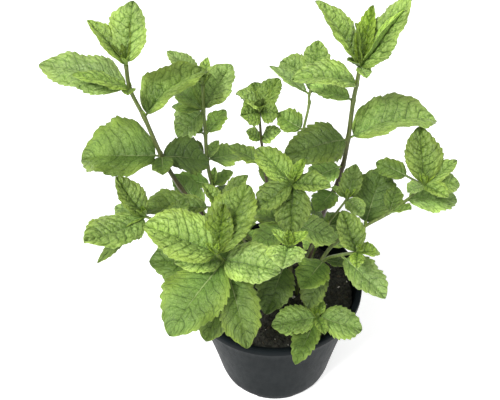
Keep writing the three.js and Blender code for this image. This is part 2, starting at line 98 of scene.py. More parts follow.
# Leaves: blade and petiole, as in the solid model, and the finer grid. TOOTH_CUT is for young and
# for old leaves, TIP_BLUNT for every leaf and what youth adds, and the pairs TOOTH_COUNT,
# STEPS_PER_TOOTH and COLUMN_COUNT hold the least and the most.
BASE_POWER = 0.55
TIP_POWER = 0.75
PETIOLE_HALF_WIDTH = 0.6
PETIOLE_THICKNESS = 1.1
ROOT_BACK = 0.3
ROOT_DEPTH = 7
YOUNG_STEP = 0.55
OLD_STEP = 0.8
BLADE = 0.45
TOOTH_PITCH = 3.1
TOOTH_CUT = (0.7, 1.5)
TOOTH_PEAK = 0.75
TOOTH_OUT = 0.55
TOOTH_COUNT = (4, 14)
STEPS_PER_TOOTH = (3, 7)
COLUMN_COUNT = (4, 30)
PETIOLE_STEP = 1.2
SHARE_EASE = 1.15
TIP_BLUNT = (0.02, 0.06)
TIP_SLIM_START = 0.72
EDGE_UNEVEN = 0.16
FEWEST_VEINS = 5
VEIN_LENGTHS = (22, 34)
FULL_RELIEF_WIDTH = 22
RIB_WIDTH = 0.8
VEIN_NET = 0.42
FINE_NET = 1.05
GOLDEN_TINT = (0.97, 1.0, 0.62, 1)
VEIN_SWEEP = 0.34
CELL_SIZE = 1.8
CELL_GROWTH = 0.035
YOUNG_QUILT = 1.05
OLD_QUILT = 0.3
TIP_SLIM = 0.16

# Stems, and the tufts of the smallest leaves at their tips and points.
STEM_AROUND = 16
STEM_STEPS = 6
STEM_SWELL = 0.22
SWELL_SHARPNESS = 20
STEM_SQUARE = 1.35
TUFT_TONE = 1.2
TIP_TUFT = (3.6, 3.6, 6.2, 6.2, 8.5)
TIP_TUFT_SPREAD = 17
POINT_TUFT = (4.5, 4.5)
POINT_TUFT_SPREAD = 30
POINT_TUFT_CHANCE = 0.6

# Light: strength of the white surroundings, then turn, height, angle and strength of each sun.
WORLD_STRENGTH = 0.42
KEY_LIGHT = (-130, 50, 14, 2.42)
FILL_LIGHT = (-80, 50, 50, 0.72)
FLOOR_GLOW = 0.55

# Floor: half of its side, in metres.
FLOOR_HALF_SIDE = 30.0

# Each shoot: the stem's radius at the soil and at its tip, the points of the stem, and the
# leaves: (stem point, heading, lift, length, width, roll, bend, fold, petiole). The numbers were
# worked out by scratch programs from points picked in the photograph, as report.md tells.
SHOOTS = {
    "shoot_tall_left": (
        (2.0, 1.2),
        [(-10, 6, 76), (-19, 7, 100), (-32, 8, 120), (-46, 9, 137), (-60, 12, 158),
         (-69.5, 15, 180), (-77, 17, 207), (-83, 18, 226), (-83, 18, 241)],
        [
            (8, 71, 62, 33, 25, 2, 1, 14, 2),
            (8, 159, 53, 30, 16, -5, 10, 25, 1),
            (8, 73, 61, 23, 8, 0, 0, 40, 1),
            (8, 175, 60, 13, 5, 0, 0, 40, 1),
            (7, 208, 34, 33, 15, -10, 12, 10, 1),
            (7, 174, 23, 51, 27, -19, 24, 6, 3),
            (6, 42, 39, 49, 31, 6, 53, 25, 3),
            (7, 275, 15, 9, 8, 0, 10, 12, 1),
            (5, 187, 15, 47, 47, -17, 40, 20, 4),
            (5, 20, -15, 32, 26, 25, 20, 12, 1),
            (3, 128, 30, 32, 17, 0, 20, 12, 5),
            (5, 280, 6, 18, 14, 0, 10, 12, 1),
        ],
    ),
    "shoot_back_left": (
        (1.6, 1.1),
        [(-5, 15, 76), (-14, 20, 98), (-34, 32, 119), (-43, 42, 135), (-46, 46, 154),
         (-46, 49, 172), (-46, 50, 191), (-45, 50, 210)],
        [
            (7, 65, 60, 16, 9, 0, 0, 30, 1),
            (7, 138, 25, 32, 15, -5, 8, 12, 2),
            (6, 51, 43, 33, 33, -5, 10, 15, 2),
            (6, 137, 18, 25, 22, 0, 5, 15, 2),
            (6, 204, -34, 23, 26, -19, 12, 15, 2),
            (5, 43, 38, 19, 14, 12, 11, 8, 3),
            (5, 150, 25, 16, 12, 0, 10, 12, 3),
            (4, 170, 20, 26, 26, -10, 20, 15, 3),
            (4, 36, -8, 28, 23, 6, 17, 6, 3),
            (4, 55, 35, 14, 9, 0, 10, 15, 2),
            (3, 80, 50, 12, 6, 0, 0, 30, 1),
            (3, 25, 25, 16, 14, 0, 0, 12, 1),
            (3, 180, 20, 24, 16, -10, 15, 12, 3),
            (2, 95, 10, 26, 20, 0, 25, 12, 5),
            (6, 158, 0, 22, 13, -10, 15, 12, 2),
        ],
    ),
    "shoot_back_centre": (
        (1.4, 0.8),
        [(2, 20, 76), (1, 25, 98), (-1, 32, 117), (-5, 40, 133), (-7, 43, 152), (-9, 45, 171),
         (-10, 45, 193)],
        [
            (6, 191, 52, 20, 20, -10, 10, 25, 1),
            (6, 54, 38, 25, 17, 10, 10, 20, 1),
            (6, 103, 41, 19, 20, 0, 0, 15, 1),
            (6, 300, 70, 11, 9, 0, -10, 25, 1),
            (6, 230, 21, 16, 18, -50, 10, 8, 1),
            (6, 338, 12, 12, 15, 50, 15, 5, 1),
            (5, 177, 40, 11, 11, -20, 15, 12, 1),
            (5, 346, 41, 15, 15, 20, 15, 12, 1),
            (4, 167, 29, 25, 17, 2, 11, 10, 3),
            (4, 350, 15, 22, 16, 10, 20, 12, 3),
            (3, 80, 20, 26, 19, 0, 20, 12, 4),
        ],
    ),
    "shoot_back_right": (
        (1.1, 0.8),
        [(11, 17, 76), (13, 20, 104), (15, 28, 134), (16, 34, 163), (18, 36, 185), (21, 38, 202),
         (21, 38, 210), (24, 41, 219)],
        [
            (7, 77, 66, 22, 18, 0, 5, 15, 1),
            (7, 130, 3, 31, 20, -25, 10, 15, 1),
            (6, 161, 35, 27, 10, -10, 15, 15, 3),
            (6, 45, 40, 24, 20, 20, 10, 15, 2),
            (7, 250, 65, 8, 5, 0, 0, 35, 1),
            (4, 152, 20, 18, 18, -22, -4, 5, 2),
            (3, 60, 20, 25, 19, 0, 20, 12, 4),
            (3, 240, 10, 18, 13, 0, 20, 12, 4),
        ],
    ),
    "shoot_tall_right": (
        (1.9, 1.2),
        [(19, 5, 76), (24, 7, 106), (31, 12, 134), (38, 14, 154), (42.2, 15, 173), (43.9, 15, 193),
         (45, 15, 220), (46, 15, 230), (47, 15, 242)],
        [
            (8, 142, 45, 42, 29, 14, 3, 17, 1),
            (8, 359, 52, 45, 28, 16, -18, 6, 1),
            (8, 65, 65, 31, 13, 0, 0, 35, 2),
            (8, 154, 84, 24, 12, 0, 10, 30, 1),
            (8, 354, 60, 38, 9, 0, 0, 40, 1),
            (8, 285, -2, 10, 9, 0, 10, 15, 1),
            (8, 208, 39, 10, 9, 0, 10, 15, 1),
            (7, 197, 31, 38, 21, -20, 46, 26, 1),
            (6, 144, 2, 28, 14, -15, 10, 12, 3),
            (5, 12, 29, 55, 38, 4, 54, 22, 4),
            (5, 211, 10, 41, 27, -30, 13, 7, 3),
            (4, 202, -6, 22, 18, -20, 15, 12, 3),
            (3, 238, 7, 21, 18, 0, 20, 12, 3),
            (3, 30, -5, 22, 17, 0, 20, 12, 3),
        ],
    ),
    "shoot_right": (
        (1.6, 0.9),
        [(26, -4, 76), (29, -5, 104), (39, -6, 127), (56, -8, 143), (70, -8, 154), (79, -8, 164),
         (88, -8, 176)],
        [
            (6, 96, 51, 33, 23, 0, 0, 15, 2),
            (6, 46, 28, 17, 7, 0, 0, 35, 1),
            (6, 25, 30, 24, 13, 10, 10, 20, 1),
            (6, 7, 1, 21, 16, 20, 15, 15, 2),
            (6, 310, 14, 17, 12, 10, 15, 20, 1),
            (5, 6, 4, 31, 25, 15, 20, 15, 2),
            (6, 215, 11, 13, 11, 0, 10, 15, 1),
            (6, 154, 16, 20, 14, -27, 25, 6, 12),
            (4, 63, 47, 15, 13, 0, 10, 20, 2),
            (4, 315, 47, 17, 14, 0, 15, 12, 2),
            (3, 65, 45, 37, 28, 15, 15, 12, 3),
        ],
    ),
    "shoot_front_left": (
        (1.6, 1.0),
        [(-5, -12, 76), (-7, -18, 104), (-12, -31, 131), (-20, -50, 153), (-27, -64, 170),
         (-30, -70, 181)],
        [
            (5, 176, 33, 39, 32, -14, 20, 18, 1),
            (5, 78, 46, 25, 16, 0, -5, 20, 1),
            (5, 63, 31, 40, 28, 0, 5, 15, 1),
            (5, 133, 16, 17, 8, 0, 0, 30, 1),
            (5, 43, 43, 11, 7, 0, 0, 30, 0),
            (4, 331, 20, 33, 24, 25, 20, 14, 1),
            (4, 237, -7, 45, 33, -12, 30, 12, 4),
            (4, 290, -25, 43, 24, 0, 25, 14, 5),
            (4, 205, 25, 26, 16, -30, 15, 20, 2),
            (3, 185, 12, 47, 34, -20, 20, 12, 4),
            (3, 242, -24, 43, 30, 0, 20, 12, 4),
        ],
    ),
    "shoot_left": (
        (1.4, 0.9),
        [(-15, -5, 76), (-18, -8, 100), (-27, -16, 126), (-45, -24, 149), (-62, -28, 162),
         (-74, -30, 171)],
        [
            (5, 146, 40, 27, 18, 0, -12, 20, 1),
            (5, 152, -6, 22, 14, -10, 0, 12, 1),
            (5, 228, 0, 41, 26, -9, -32, 8, 2),
            (5, 215, 0, 16, 7, 0, 10, 30, 1),
            (5, 220, -21, 36, 9, -20, 20, 15, 2),
            (4, 60, 25, 18, 12, 0, 20, 15, 3),
            (3, 130, 10, 26, 18, 0, 20, 12, 4),
            (3, 300, -10, 18, 13, 0, 20, 12, 3),
        ],
    ),
    "shoot_centre": (
        (1.3, 0.8),
        [(9, -6, 76), (10, -11, 106), (9, -19, 138), (9, -28, 163), (9, -35, 184), (9, -40, 203)],
        [
            (5, 128, 14, 30, 18, -10, 5, 15, 1),
            (5, 45, 48, 14, 9, 0, 0, 30, 1),
            (5, 165, 60, 8, 5, 0, 0, 30, 1),
            (5, 336, 22, 21, 15, 10, 20, 15, 1),
            (5, 270, -35, 26, 20, 0, 25, 15, 1),
            (5, 210, -15, 22, 17, -10, 15, 15, 1),
            (3, 215, -5, 24, 18, -10, 25, 12, 3),
            (3, 345, -5, 26, 19, 15, 25, 12, 3),
            (2, 90, 20, 22, 15, 0, 20, 12, 4),
            (3, 147, -1, 23, 18, 0, 15, 12, 3),
        ],
    ),
    "shoot_front_centre": (
        (1.2, 0.8),
        [(4, -15, 76), (6, -24, 105), (6, -42, 145), (7, -66, 182)],
        [
            (3, 145, 35, 12, 7, 0, 0, 30, 1),
            (3, 25, 28, 12, 8, 0, 0, 30, 1),
            (3, 260, 18, 17, 21, 0, 20, 15, 1),
            (3, 90, 75, 9, 6, 0, 5, 25, 1),
            (2, 250, -10, 30, 22, 0, 25, 12, 3),
            (2, 165, 20, 20, 15, -10, 15, 12, 3),
        ],
    ),
    "shoot_front_right": (
        (1.3, 0.9),
        [(20, -17, 76), (24, -21, 105), (30, -27, 132), (38, -40, 150), (46, -50, 162)],
        [
            (4, 120, 45, 24, 17, -10, 5, 15, 1),
            (4, 22, -15, 14, 13, 0, 10, 20, 1),
            (4, 260, 11, 12, 9, 0, 15, 20, 1),
            (3, 313, -8, 32, 22, 0, 15, 12, 4),
            (2, 238, 7, 25, 21, -10, 20, 12, 2),
            (2, 240, -49, 29, 18, 0, 20, 12, 4),
            (2, 350, 0, 14, 9, 0, 10, 12, 2),
        ],
    ),
    "shoot_low_front": (
        (1.1, 0.8),
        [(26, -31, 76), (27, -35, 85), (27, -40, 94)],
        [
            (2, 193, 3, 28, 21, -20, 20, 12, 2),
            (2, 350, -11, 29, 22, 25, 20, 12, 2),
            (2, 242, -10, 32, 18, 0, 15, 12, 2),
            (2, 75, 40, 11, 9, 0, 5, 25, 1),
            (2, 285, 5, 13, 9, 0, 15, 25, 1),
        ],
    ),
    "shoot_mid_right": (
        (1.2, 0.8),
        [(15, -4, 76), (20, -4, 110), (33, -3, 139), (44, -4, 162)],
        [
            (3, 65, 58, 21, 15, 0, 5, 15, 1),
            (3, 302, 0, 15, 13, 10, 15, 15, 1),
            (3, 155, 30, 11, 8, 0, 5, 25, 1),
            (2, 25, 10, 15, 12, 0, 20, 12, 2),
            (2, 186, 55, 22, 17, 0, 15, 12, 2),
        ],
    ),
    "shoot_mid_left": (
        (1.2, 0.8),
        [(-7, 0, 76), (-12, 0, 104), (-24, 0, 130), (-34, 0, 151)],
        [
            (3, 145, 48, 18, 12, 0, 5, 25, 1),
            (3, 33, 43, 25, 16, 0, 5, 15, 2),
            (3, 192, 16, 42, 28, 5, 21, 15, 9),
            (3, 300, 40, 10, 7, 0, 5, 25, 1),
            (2, 180, 5, 22, 14, 0, 20, 12, 3),
            (2, 60, 15, 22, 15, 0, 20, 12, 3),
        ],
    ),
    "shoot_low_back_left": (
        (1.1, 0.8),
        [(-18, 20, 76), (-23, 25, 88), (-27, 30, 97)],
        [
            (2, 80, 15, 26, 20, 0, 20, 12, 2),
            (2, 260, 15, 20, 16, 0, 20, 12, 2),
            (2, 170, 20, 26, 19, 0, 20, 12, 2),
            (2, 350, 20, 16, 12, 0, 20, 12, 2),
            (2, 130, 65, 9, 6, 0, 5, 30, 1),
            (2, 310, 60, 9, 6, 0, 5, 30, 1),
        ],
    ),
    "shoot_low_back_right": (
        (1.1, 0.8),
        [(24, 22, 76), (29, 28, 87), (33, 33, 95)],
        [
            (2, 50, 15, 26, 20, 0, 20, 12, 2),
            (2, 230, 15, 18, 14, 0, 20, 12, 2),
            (2, 140, 20, 23, 17, 0, 20, 12, 2),
            (2, 320, 20, 24, 17, 0, 20, 12, 2),
            (2, 80, 65, 9, 6, 0, 5, 30, 1),
            (2, 260, 60, 9, 6, 0, 5, 30, 1),
        ],
    ),
}

# How each shoot looks: the purple of its stem, then a digit for each leaf in the table's order
# for its age (0 young and quilted, 9 old and smooth) and for its tone (0 dark to 9 pale, and
# a to f paler still). The tones follow each leaf's brightness as measured in the photograph.
# The tones hold the leaves' own green and painted light and shade: leaves lying in shade among the others
# get the paler digits a to f.
LOOKS = {
    "shoot_tall_left": (1.0, "210005247999", "8700996551c2"),
    "shoot_back_left": (0.4, "023666659527998", "a98a9c7289d8e29"),
    "shoot_back_centre": (3.0, "11102244779", "85505468545"),
    "shoot_back_right": (0.0, "33780899", "88a86744"),
    "shoot_tall_right": (1.2, "12000661438899", "7865d968d81e73"),
    "shoot_right": (0.3, "10331668669", "26887b94373"),
    "shoot_front_left": (0.3, "10200199389", "81570973954"),
    "shoot_left": (0.7, "16204468", "39882333"),
    "shoot_centre": (0.6, "1001238698", "75c402d926"),
    "shoot_front_centre": (0.4, "001098", "98b513"),
    "shoot_front_right": (0.2, "1006999", "2789712"),
    "shoot_low_front": (0.1, "56811", "c8576"),
    "shoot_mid_right": (0.4, "64188", "18444"),
    "shoot_mid_left": (0.8, "234188", "524733"),
    "shoot_low_back_left": (0.2, "888811", "464f44"),
    "shoot_low_back_right": (0.2, "888811", "1c4c44"),
}
TONE_STEP = 1.11
MIDDLE_TONE = 5

rng = np.random.default_rng(SEED)
TABLE_SIDE = 64
JITTER = rng.random((TABLE_SIDE, TABLE_SIDE, 2))
LUMPS = rng.random((TABLE_SIDE, TABLE_SIDE))


def smooth(low, high, value):
    share = np.clip((value - low) / (high - low), 0, 1)
    return share * share * (3 - 2 * share)


def value_noise(x, y):
    """Smooth noise from 0 to 1 with features one unit wide."""
    ix, iy = np.floor(x).astype(int), np.floor(y).astype(int)
    fx, fy = smooth(0, 1, x - ix), smooth(0, 1, y - iy)

    def at(dx, dy):
        return LUMPS[(ix + dx) % TABLE_SIDE, (iy + dy) % TABLE_SIDE]

    low = at(0, 0) * (1 - fx) + at(1, 0) * fx
    high = at(0, 1) * (1 - fx) + at(1, 1) * fx
    return low * (1 - fy) + high * fy


def cells(x, y, seed, border):
    """Small cells about one unit wide: 0 on their borders rising to 1 inside, and each one's draw."""
    ix, iy = np.floor(x).astype(int), np.floor(y).astype(int)
    first, second, draw = np.full(x.shape, 9.0), np.full(x.shape, 9.0), np.zeros(x.shape)
    for dx in (-1, 0, 1):
        for dy in (-1, 0, 1):
            row, column = (ix + dx + seed) % TABLE_SIDE, (iy + dy) % TABLE_SIDE
            spot = JITTER[row, column]
            away = np.hypot(ix + dx + spot[..., 0] - x, iy + dy + spot[..., 1] - y)
            second = np.minimum(second, np.maximum(first, away))
            draw = np.where(away < first, LUMPS[row, column], draw)
            first = np.minimum(first, away)
    return smooth(0, border, second - first), draw


# Meshes


def new_piece(name, vertices, faces, material, attributes=None):
    """A piece from arrays: vertices in metres, and faces of four corners."""
    mesh = bpy.data.meshes.new(name)
    mesh.vertices.add(len(vertices))
    mesh.vertices.foreach_set("co", np.asarray(vertices, np.float32).ravel())
    faces = np.asarray(faces, np.int32)
    mesh.loops.add(faces.size)
    mesh.loops.foreach_set("vertex_index", faces.ravel())
    mesh.polygons.add(len(faces))
    mesh.polygons.foreach_set("loop_start", np.arange(0, faces.size, faces.shape[1], dtype=np.int32))
    mesh.update(calc_edges=True)
    for key, values in (attributes or {}).items():
        layer = mesh.attributes.new(key, "FLOAT_VECTOR", "POINT")
        layer.data.foreach_set("vector", np.asarray(values, np.float32).ravel())
    mesh.materials.append(material)
    mesh.shade_smooth()
    piece = bpy.data.objects.new(name, mesh)
    bpy.context.scene.collection.objects.link(piece)
    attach(piece, "root")
    return piece


class Heap:
    """Gathers small closed meshes into one."""

    def __init__(self):
        self.vertices, self.faces, self.attributes, self.count = [], [], {}, 0

    def add(self, vertices, faces, **attributes):
        self.vertices.append(vertices)
        self.faces.append(np.asarray(faces) + self.count)
        self.count += len(vertices)
        for key, values in attributes.items():
            self.attributes.setdefault(key, []).append(values)

    def piece(self, name, material, slot):
        attributes = {key: np.concatenate(v) for key, v in self.attributes.items()}
        return new_piece(
            name,
            np.concatenate(self.vertices) * MM,
            np.concatenate(self.faces),
            material,
            attributes,
        )


def tube_faces(rings, around):
    """Faces of a closed tube whose points run ring by ring."""
    ring, turn = np.meshgrid(np.arange(rings - 1), np.arange(around), indexing="ij")
    a = ring * around + turn
    b = ring * around + (turn + 1) % around
    sides = np.stack([a, b, b + around, a + around], -1).reshape(-1, 4)
    k = np.arange(around // 2 - 1)
    cap = np.stack([k, around - 1 - k, around - 2 - k, k + 1], -1)
    return np.concatenate([sides, cap, cap[:, ::-1] + (rings - 1) * around])


# Materials


def srgb(red, green, blue):
    """Linear colour from 8-bit values."""
    part = np.array([red, green, blue]) / 255
    linear = np.where(part <= 0.04045, part / 12.92, ((part + 0.055) / 1.055) ** 2.4)
    return (*[float(v) for v in linear], 1.0)


class Graph:
    """A material's node tree, with short names for the nodes that it uses."""

    def __init__(self, name):
        self.material = bpy.data.materials.new(name)
        self.material.use_nodes = True
        self.tree = self.material.node_tree
        self.shader = self.tree.nodes["Principled BSDF"]

    def node(self, kind, **settings):
        made = self.tree.nodes.new(kind)
        for key, value in settings.items():
            setattr(made, key, value)
        return made

    def put(self, socket, value):
        if isinstance(value, bpy.types.NodeSocket):
            self.tree.links.new(value, socket)
        else:
            socket.default_value = value

    def math(self, operation, *values):
        made = self.node("ShaderNodeMath", operation=operation)
        for socket, value in zip(made.inputs, values):
            self.put(socket, value)
        return made.outputs[0]

    def span(self, value, low, high, to_low=0.0, to_high=1.0):
        """Smooth step of a value from one range to another."""
        made = self.node("ShaderNodeMapRange", interpolation_type="SMOOTHSTEP")
        for socket, number in zip(made.inputs, (value, low, high, to_low, to_high)):
            self.put(socket, number)
        return made.outputs[0]

    def mix(self, share, first, second, blend="MIX"):
        made = self.node("ShaderNodeMix", data_type="RGBA", blend_type=blend)
        for key, value in ((0, share), (6, first), (7, second)):
            self.put(made.inputs[key], value)
        return made.outputs[2]

    def grey(self, value):
        made = self.node("ShaderNodeCombineXYZ")
        for socket in made.inputs:
            self.put(socket, value)
        return made.outputs[0]

    def attribute(self, name):
        read = self.node("ShaderNodeAttribute", attribute_name=name)
        split = self.node("ShaderNodeSeparateXYZ")
        self.tree.links.new(read.outputs["Vector"], split.inputs[0])
        return split.outputs

    def place(self, stretch=(1, 1, 1)):
        where = self.node("ShaderNodeTexCoord").outputs["Object"]
        scaled = self.node("ShaderNodeVectorMath", operation="MULTIPLY")
        self.tree.links.new(where, scaled.inputs[0])
        scaled.inputs[1].default_value = stretch
        return scaled.outputs[0]

    def noise(self, scale, detail=3.0, rough=0.5, stretch=(1, 1, 1)):
        made = self.node("ShaderNodeTexNoise")
        self.tree.links.new(self.place(stretch), made.inputs["Vector"])
        made.inputs["Scale"].default_value = scale
        made.inputs["Detail"].default_value = detail
        made.inputs["Roughness"].default_value = rough
        return made.outputs[0]

    def net(self, along, across, scale):
        """Distance from the edges of small cells laid in two directions of a leaf."""
        laid = self.node("ShaderNodeCombineXYZ")
        self.put(laid.inputs[0], along)
        self.put(laid.inputs[1], across)
        made = self.node("ShaderNodeTexVoronoi", feature="DISTANCE_TO_EDGE", voronoi_dimensions="2D")
        self.tree.links.new(laid.outputs[0], made.inputs["Vector"])
        made.inputs["Scale"].default_value = scale
        return made.outputs["Distance"]

    def bump(self, height, distance, strength):
        made = self.node("ShaderNodeBump")
        made.inputs["Strength"].default_value = strength
        made.inputs["Distance"].default_value = distance
        self.tree.links.new(height, made.inputs["Height"])
        self.tree.links.new(made.outputs[0], self.shader.inputs["Normal"])

    def set(self, **inputs):
        for key, value in inputs.items():
            self.put(self.shader.inputs[key.replace("_", " ")], value)
        return self.material


def leaf_material():
    """Reads leaf_a (vein phase, millimetres from the midrib, share of the length),
    leaf_b (age, tone with painted light and shade, net) and leaf_c (underside, signed share of the
    half width, vein spacing)."""
    g = Graph("mint_leaf")
    phase, aside, share = g.attribute("leaf_a")
    age, tone_with_painted_light, net = g.attribute("leaf_b")
    under, across, pitch = g.attribute("leaf_c")
    along = g.math("MULTIPLY_ADD", tone_with_painted_light, 40.0, g.math("MULTIPLY", phase, pitch))
    mesh = g.net(along, aside, VEIN_NET)
    finer = g.net(along, aside, FINE_NET)
    across = g.math("ABSOLUTE", across)
    aside = g.math("ABSOLUTE", aside)
    youth = g.math("SUBTRACT", 1.0, age)
    turn = g.math("FRACT", g.math("ADD", phase, 0.5))
    away = g.math("MULTIPLY", g.math("ABSOLUTE", g.math("SUBTRACT", turn, 0.5)), pitch)
    vein = g.math("MULTIPLY", g.span(away, 0.1, 0.46, 1.0, 0.0), g.span(across, 0.8, 1.0, 1.0, 0.0))
    width = g.math("MULTIPLY_ADD", g.math("SUBTRACT", 1.0, share), 0.38, 0.1)
    rib = g.span(g.math("DIVIDE", aside, width), 0.45, 1.0, 1.0, 0.0)
    mottle = g.noise(70, 4.0)
    patch = g.noise(28, 2.0)
    grain = g.noise(1500, 3.0)

    body = g.mix(age, srgb(106, 138, 50), srgb(96, 128, 50))
    body = g.mix(g.math("MULTIPLY", g.span(patch, 0.35, 0.7), 0.3), body, srgb(132, 152, 66))
    # Painted highlight: the raised cells' crests are drawn paler, more on young leaves.
    painted_crest_highlight = g.math("MULTIPLY", g.span(net, 0.2, 0.9), g.math("MULTIPLY_ADD", youth, 0.55, 0.08))
    body = g.mix(painted_crest_highlight, body, srgb(162, 190, 96))
    # Painted shade: the sunk borders between the cells are drawn darker, more on young leaves.
    painted_hollow_shade = g.math("MULTIPLY", g.span(net, 0.0, 0.3, 1.0, 0.0), g.math("MULTIPLY_ADD", youth, 0.3, 0.34))
    body = g.mix(painted_hollow_shade, body, srgb(48, 80, 26))
    core = g.math("MULTIPLY", g.span(across, 0.0, 0.7, 1.0, 0.0), g.span(share, 0.0, 0.85, 0.65, 0.0))
    body = g.mix(core, body, srgb(70, 104, 38))
    rim = g.math("MULTIPLY", g.span(across, 0.45, 1.0), g.span(patch, 0.25, 0.7, 0.1, 0.55))
    body = g.mix(rim, body, srgb(154, 178, 58))
    fade = g.span(g.noise(160, 3.0), 0.3, 0.65, 0.25, 1.0)
    # Painted shade: the fine vein net's sunk lines are drawn darker, more on old leaves.
    vein_net_painted_shade = g.math("MULTIPLY", g.span(mesh, 0.01, 0.1, 1.0, 0.0), g.span(fade, 0.25, 1.0, 0.2, 0.65))
    body = g.mix(g.math("MULTIPLY", vein_net_painted_shade, g.math("MULTIPLY_ADD", age, 0.45, 0.3)), body, srgb(52, 84, 30))
    # Painted highlight: the small raised bumps of the finer net are drawn paler, more on young leaves.
    painted_cell_highlight = g.math("MULTIPLY", g.span(finer, 0.06, 0.4), g.math("MULTIPLY_ADD", youth, 0.24, 0.16))
    body = g.mix(painted_cell_highlight, body, srgb(164, 190, 88))
    # Painted shade: the sunk side veins are drawn as dark lines.
    side_vein_painted_shade = g.math("MULTIPLY", g.math("MULTIPLY", vein, fade), g.math("MULTIPLY_ADD", youth, -0.04, 0.68))
    body = g.mix(side_vein_painted_shade, body, srgb(48, 76, 28))
    pale = g.math("MULTIPLY", g.math("MULTIPLY", rib, age), g.span(share, 0.3, 0.75, 0.75, 0.05))
    # Painted shade: the sunk midrib of young leaves is drawn darker.
    body = g.mix(g.math("MULTIPLY", g.math("MULTIPLY", rib, youth), 0.6), body, srgb(56, 86, 34))
    body = g.mix(pale, body, srgb(164, 180, 118))
    body = g.mix(g.math("MULTIPLY", under, 0.6), body, srgb(124, 146, 96))
    fleck = g.span(g.noise(420, 4.0, 0.6), 0.25, 0.75, 0.88, 1.12)
    # Painted light and shade: each leaf's tone lightens or darkens it whole, and the noises add its own
    # mottling.
    tone_and_painted_light = g.math("MULTIPLY", g.math("MULTIPLY", tone_with_painted_light, fleck), g.span(mottle, 0.25, 0.75, 0.82, 1.24))
    tone_and_painted_light = g.math("MULTIPLY", tone_and_painted_light, g.span(patch, 0.3, 0.7, 0.88, 1.12))
    body = g.mix(1.0, body, g.grey(tone_and_painted_light), "MULTIPLY")
    # The youngest leaves are golden.
    golden = g.mix(1.0, body, GOLDEN_TINT, "MULTIPLY")
    body = g.mix(g.span(age, 0.0, 0.12, 1.0, 0.0), body, golden)
    # Painted sheen: the raised cells of the paler leaves are washed towards a whitish green.
    painted_sheen = g.math("MULTIPLY", g.span(tone_with_painted_light, 1.15, 1.6, 0.0, 0.14), g.span(net, 0.1, 0.7, 0.4, 1.0))
    body = g.mix(painted_sheen, body, srgb(206, 216, 184))

    height = g.math("MULTIPLY_ADD", vein, -0.6, g.math("MULTIPLY", grain, 0.18))
    height = g.math("MULTIPLY_ADD", g.span(finer, 0.0, 0.3), 0.25, height)
    height = g.math("MULTIPLY_ADD", g.span(mesh, 0.0, 0.14), 0.4, height)
    height = g.math("MULTIPLY_ADD", rib, -0.5, height)
    height = g.math("MULTIPLY_ADD", net, g.math("MULTIPLY_ADD", youth, 0.5, 0.3), height)
    g.bump(height, 0.0005, 0.85)
    gloss = g.math("MULTIPLY_ADD", age, 0.12, g.span(mottle, 0.2, 0.8, 0.27, 0.42))
    return g.set(Base_Color=body, Roughness=gloss, Specular_IOR_Level=0.45)


def stem_material():
    """Reads stem_a: share of the stem's length and purple. The turn around the stem isn't read."""
    g = Graph("mint_stem")
    share, purple, _ = g.attribute("stem_a")
    streak = g.noise(900, 3.0, stretch=(1, 1, 0.12))
    blotch = g.noise(120, 3.0)
    dark = g.mix(g.span(streak, 0.3, 0.7), srgb(46, 34, 29), srgb(80, 66, 42))
    green = g.mix(g.span(streak, 0.3, 0.7), srgb(90, 108, 48), srgb(128, 148, 72))
    height = g.math("MULTIPLY_ADD", blotch, 0.3, share)
    reach = g.math("MULTIPLY", purple, g.span(height, 0.55, 1.05, 1.0, 0.25))
    g.bump(streak, 0.0003, 0.5)
    return g.set(Base_Color=g.mix(reach, green, dark), Roughness=g.span(blotch, 0.3, 0.7, 0.4, 0.6))


def pot_material():
    g = Graph("pot_plastic")
    cloud = g.noise(40, 4.0)
    grain = g.noise(2600, 2.0)
    scuff = g.noise(260, 5.0, 0.7, stretch=(1, 1, 0.25))
    colour = g.mix(g.span(cloud, 0.3, 0.7), srgb(20, 25, 27), srgb(25, 30, 32))
    colour = g.mix(g.math("MULTIPLY", g.span(scuff, 0.6, 0.75), 0.15), colour, srgb(48, 52, 52))
    g.bump(g.math("MULTIPLY_ADD", cloud, 0.4, grain), 0.00006, 0.5)
    gloss = g.span(scuff, 0.35, 0.75, 0.36, 0.46)
    return g.set(Base_Color=colour, Roughness=gloss, IOR=1.3, Specular_IOR_Level=0.05)


def soil_material():
    """Reads soil_a: the tint of each crumb."""
    g = Graph("potting_soil")
    tint, _, _ = g.attribute("soil_a")
    clod = g.noise(420, 5.0, 0.65)
    grain = g.noise(1900, 4.0, 0.7)
    dark = g.mix(g.span(clod, 0.3, 0.7), srgb(38, 38, 35), srgb(74, 74, 66))
    colour = g.mix(tint, dark, srgb(88, 78, 62))
    g.bump(g.math("MULTIPLY_ADD", clod, 1.6, grain), 0.0006, 0.9)
    return g.set(Base_Color=colour, Roughness=g.span(grain, 0.3, 0.7, 0.8, 1.0), Specular_IOR_Level=0.25)


def perlite_material():
    g = Graph("perlite")
    pore = g.noise(1600, 4.0, 0.7)
    colour = g.mix(g.span(pore, 0.35, 0.6), srgb(150, 144, 132), srgb(226, 222, 212))
    g.bump(pore, 0.0004, 0.8)
    return g.set(Base_Color=colour, Roughness=g.span(pore, 0.3, 0.7, 0.75, 0.95))


def floor_material():
    """A pale light table: its own faint glow keeps the shadows on it soft."""
    g = Graph("pale_floor")
    cloud = g.noise(6, 3.0)
    colour = g.mix(g.span(cloud, 0.3, 0.7), (0.9, 0.9, 0.9, 1), (0.93, 0.93, 0.93, 1))
    return g.set(Base_Color=colour, Roughness=0.7, Emission_Color=(1, 1, 1, 1), Emission_Strength=FLOOR_GLOW)


LEAF = leaf_material()
STEM = stem_material()
POT = pot_material()
SOIL = soil_material()
PERLITE = perlite_material()

# Leaves


